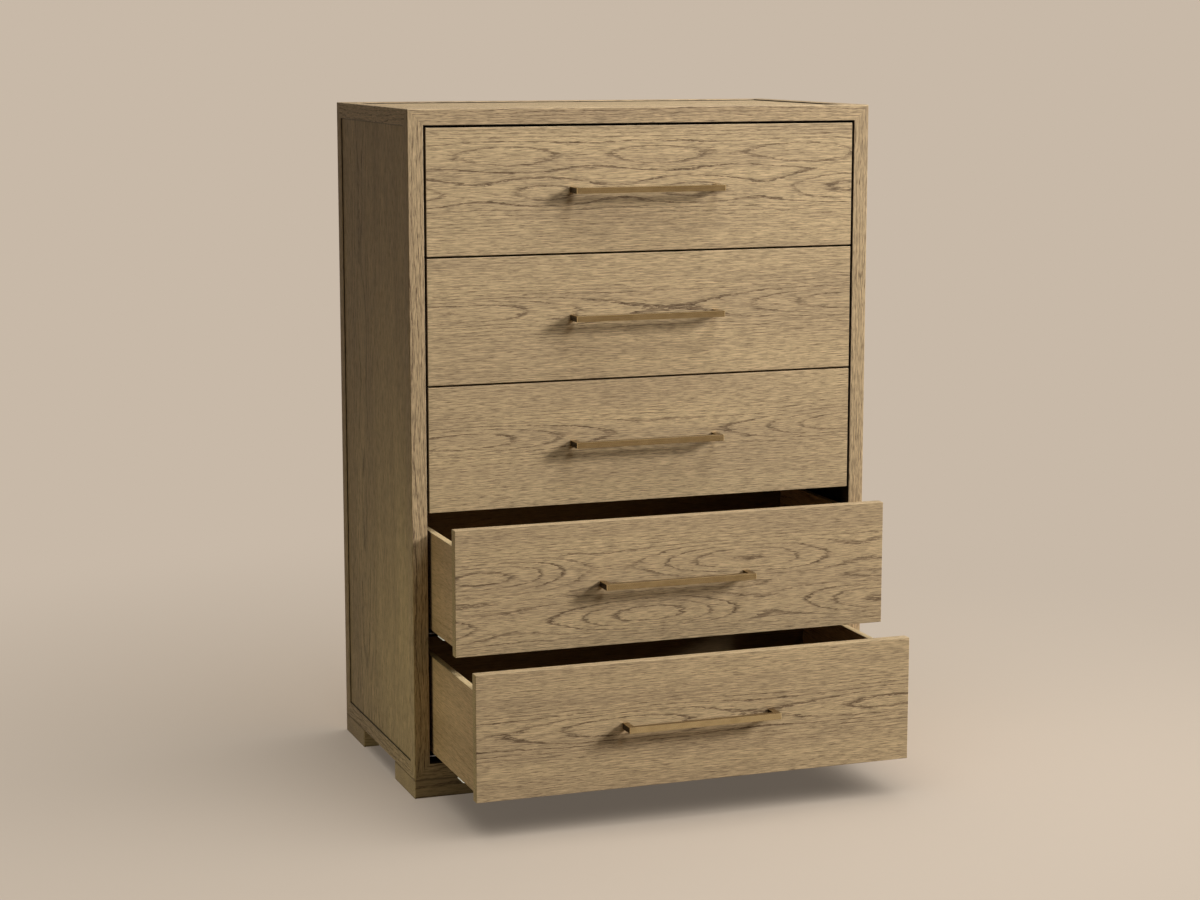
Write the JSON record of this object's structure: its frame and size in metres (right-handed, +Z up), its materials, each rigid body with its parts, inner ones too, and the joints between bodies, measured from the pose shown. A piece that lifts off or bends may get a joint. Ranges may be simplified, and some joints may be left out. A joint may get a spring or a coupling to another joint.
{
  "type": "chest of drawers",
  "caption": "Tall oak chest of drawers with a mitred frame, inset panels, block feet and brass bar pulls; drawers slide on full-extension runners.",
  "frame": {"origin": "on the floor, at the middle of the space the chest takes with its drawers open as stored", "axes": "+X to the chest's right side as seen from the front, +Y to its back, +Z up; drawers open towards -Y"},
  "size_m": [0.965, 0.882, 1.351],
  "materials": {
    "oak_frame": "weathered oak, matt",
    "oak_panel": "weathered oak veneer, matt",
    "oak_front": "weathered oak, matt",
    "box_wood": "clear sealed",
    "box_bottom": "clear sealed plywood",
    "back_board": "stained plywood",
    "cleat_wood": "bare",
    "satin_brass": "satin, lightly aged",
    "zinc_steel": "zinc plated"
  },
  "bodies": {
    "case": {"front_left_post": "oak_frame", "front_right_post": "oak_frame", "rear_left_post": "oak_frame", "rear_right_post": "oak_frame", "bottom_front_rail": "oak_frame", "bottom_rear_rail": "oak_frame", "bottom_left_rail": "oak_frame", "bottom_right_rail": "oak_frame", "top_front_rail": "oak_frame", "top_rear_rail": "oak_frame", "top_left_rail": "oak_frame", "top_right_rail": "oak_frame", "top_panel": "oak_panel", "left_side_panel": "oak_panel", "right_side_panel": "oak_panel", "bottom_panel": "back_board", "back_panel": "back_board", "feet": "oak_frame", "runner_cleats": "cleat_wood", "case_runners": "zinc_steel"},
    "drawer_1": {"drawer_1_front": "oak_front", "drawer_1_left_side": "box_wood", "drawer_1_right_side": "box_wood", "drawer_1_back": "box_wood", "drawer_1_bottom": "box_bottom", "drawer_1_pull": "satin_brass", "drawer_1_runners": "zinc_steel"},
    "drawer_1_middle": {"drawer_1_middle_runners": "zinc_steel"},
    "drawer_2": {"drawer_2_front": "oak_front", "drawer_2_left_side": "box_wood", "drawer_2_right_side": "box_wood", "drawer_2_back": "box_wood", "drawer_2_bottom": "box_bottom", "drawer_2_pull": "satin_brass", "drawer_2_runners": "zinc_steel"},
    "drawer_2_middle": {"drawer_2_middle_runners": "zinc_steel"},
    "drawer_3": {"drawer_3_front": "oak_front", "drawer_3_left_side": "box_wood", "drawer_3_right_side": "box_wood", "drawer_3_back": "box_wood", "drawer_3_bottom": "box_bottom", "drawer_3_pull": "satin_brass", "drawer_3_runners": "zinc_steel"},
    "drawer_3_middle": {"drawer_3_middle_runners": "zinc_steel"},
    "drawer_4": {"drawer_4_front": "oak_front", "drawer_4_left_side": "box_wood", "drawer_4_right_side": "box_wood", "drawer_4_back": "box_wood", "drawer_4_bottom": "box_bottom", "drawer_4_pull": "satin_brass", "drawer_4_runners": "zinc_steel"},
    "drawer_4_middle": {"drawer_4_middle_runners": "zinc_steel"},
    "drawer_5": {"drawer_5_front": "oak_front", "drawer_5_left_side": "box_wood", "drawer_5_right_side": "box_wood", "drawer_5_back": "box_wood", "drawer_5_bottom": "box_bottom", "drawer_5_pull": "satin_brass", "drawer_5_runners": "zinc_steel"},
    "drawer_5_middle": {"drawer_5_middle_runners": "zinc_steel"}
  },
  "joints": [
    {"name": "drawer_1_slide", "type": "slide", "parent": "case", "child": "drawer_1", "axis": [0, -1, 0], "range_m": [0, 0.43]},
    {"name": "drawer_1_middle_slide", "type": "slide", "parent": "case", "child": "drawer_1_middle", "axis": [0, -1, 0], "range_m": [0, 0.215]},
    {"name": "drawer_2_slide", "type": "slide", "parent": "case", "child": "drawer_2", "axis": [0, -1, 0], "range_m": [0, 0.43]},
    {"name": "drawer_2_middle_slide", "type": "slide", "parent": "case", "child": "drawer_2_middle", "axis": [0, -1, 0], "range_m": [0, 0.215]},
    {"name": "drawer_3_slide", "type": "slide", "parent": "case", "child": "drawer_3", "axis": [0, -1, 0], "range_m": [0, 0.43]},
    {"name": "drawer_3_middle_slide", "type": "slide", "parent": "case", "child": "drawer_3_middle", "axis": [0, -1, 0], "range_m": [0, 0.215]},
    {"name": "drawer_4_slide", "type": "slide", "parent": "case", "child": "drawer_4", "axis": [0, -1, 0], "range_m": [-0.17, 0.26]},
    {"name": "drawer_4_middle_slide", "type": "slide", "parent": "case", "child": "drawer_4_middle", "axis": [0, -1, 0], "range_m": [-0.085, 0.13]},
    {"name": "drawer_5_slide", "type": "slide", "parent": "case", "child": "drawer_5", "axis": [0, -1, 0], "range_m": [-0.297, 0.133]},
    {"name": "drawer_5_middle_slide", "type": "slide", "parent": "case", "child": "drawer_5_middle", "axis": [0, -1, 0], "range_m": [-0.1485, 0.0665]}
  ],
  "couplings": [
    {"joint": "drawer_1_middle_slide", "follows": "drawer_1_slide", "ratio": 0.5},
    {"joint": "drawer_2_middle_slide", "follows": "drawer_2_slide", "ratio": 0.5},
    {"joint": "drawer_3_middle_slide", "follows": "drawer_3_slide", "ratio": 0.5},
    {"joint": "drawer_4_middle_slide", "follows": "drawer_4_slide", "ratio": 0.5},
    {"joint": "drawer_5_middle_slide", "follows": "drawer_5_slide", "ratio": 0.5}
  ]
}
